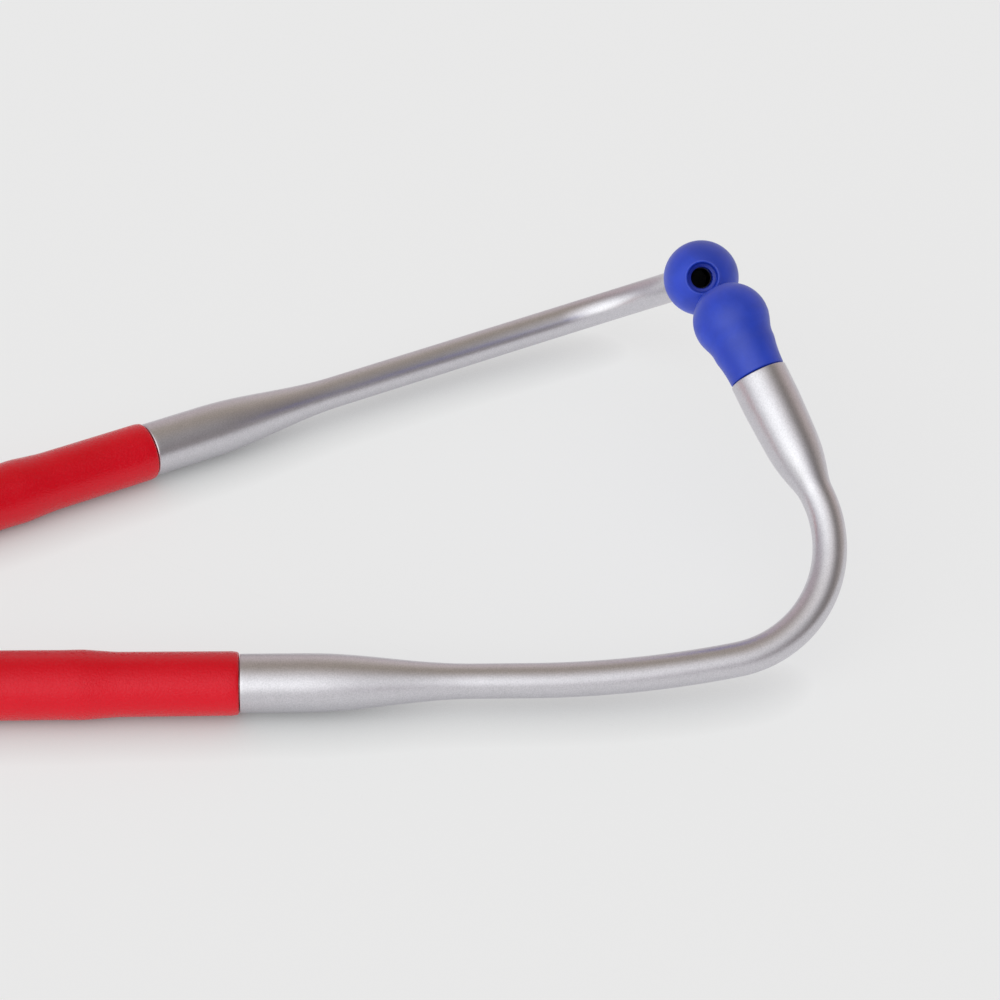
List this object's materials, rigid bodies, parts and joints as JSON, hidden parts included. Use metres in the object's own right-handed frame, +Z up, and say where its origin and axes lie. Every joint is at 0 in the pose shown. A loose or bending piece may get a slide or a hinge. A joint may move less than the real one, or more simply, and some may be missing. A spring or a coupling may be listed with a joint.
{
  "type": "stethoscope",
  "caption": "Stethoscope with soft Y-shaped tubing, sprung bent metal ear tubes with ball ear tips, and a round two-sided chestpiece that turns on its stem.",
  "frame": {"origin": "middle of the footprint of the object without its free tube, on the table it lies on", "axes": "+Z up, +Y from the yoke towards the front bends of the ear tubes, +X towards the right ear tube"},
  "size_m": [0.1659, 0.432, 0.053],
  "materials": {
    "ear_tube": "satin bead-blasted, clear anodised",
    "tubing": "satin soft PVC with a very fine grain",
    "ear_tip": "matte silicone",
    "hard_core": "moulded",
    "spring_steel": "rolled strip",
    "stem": "satin, turned",
    "seal": "moulded",
    "bearing": "moulded",
    "screw_steel": "black oxide",
    "chestpiece": "satin, turned and bead-blasted",
    "diaphragm": "smooth, off-white",
    "rim": "matte silicone"
  },
  "bodies": {
    "tubing": {"yoke": "tubing", "leaf_spring": "spring_steel", "main_tube": "tubing", "stem": "stem", "stem_o_ring": "seal"},
    "arm_left": {"branch_left": "tubing"},
    "arm_right": {"branch_right": "tubing"},
    "headset_left": {"ear_tube_left": "ear_tube", "ear_tip_left": "ear_tip", "ear_tip_core_left": "hard_core"},
    "headset_right": {"ear_tube_right": "ear_tube", "ear_tip_right": "ear_tip", "ear_tip_core_right": "hard_core"},
    "chestpiece": {"chestpiece_body": "chestpiece", "stem_bushing": "bearing", "set_screw": "screw_steel", "large_diaphragm": "diaphragm", "large_rim": "rim", "small_diaphragm": "diaphragm", "small_rim": "rim"}
  },
  "joints": [
    {"name": "arm_left_flex", "type": "hinge", "parent": "tubing", "child": "arm_left", "pos_m": [0.0202, -0.1054, 0.0059], "axis": [0, 0, 1], "range_deg": [0, 20], "stiffness_Nm_per_rad": 1, "springref_deg": -11.46, "deforming": ["leaf_spring"]},
    {"name": "arm_right_flex", "type": "hinge", "parent": "tubing", "child": "arm_right", "pos_m": [0.0328, -0.1054, 0.0059], "axis": [0, 0, -1], "range_deg": [0, 20], "stiffness_Nm_per_rad": 1, "springref_deg": -11.46, "deforming": ["leaf_spring"]},
    {"name": "ear_left_twist", "type": "hinge", "parent": "arm_left", "child": "headset_left", "pos_m": [-0.0084, 0.02186, 0.0059], "axis": [0.247, -0.969, 0], "range_deg": [0, 30]},
    {"name": "ear_right_twist", "type": "hinge", "parent": "arm_right", "child": "headset_right", "pos_m": [0.0614, 0.02186, 0.0059], "axis": [0.247, 0.969, 0], "range_deg": [0, 30]},
    {"name": "chestpiece_turn", "type": "hinge", "parent": "tubing", "child": "chestpiece", "pos_m": [-0.06098, -0.0901, 0.0093], "axis": [0, 1, 0], "continuous": true}
  ]
}
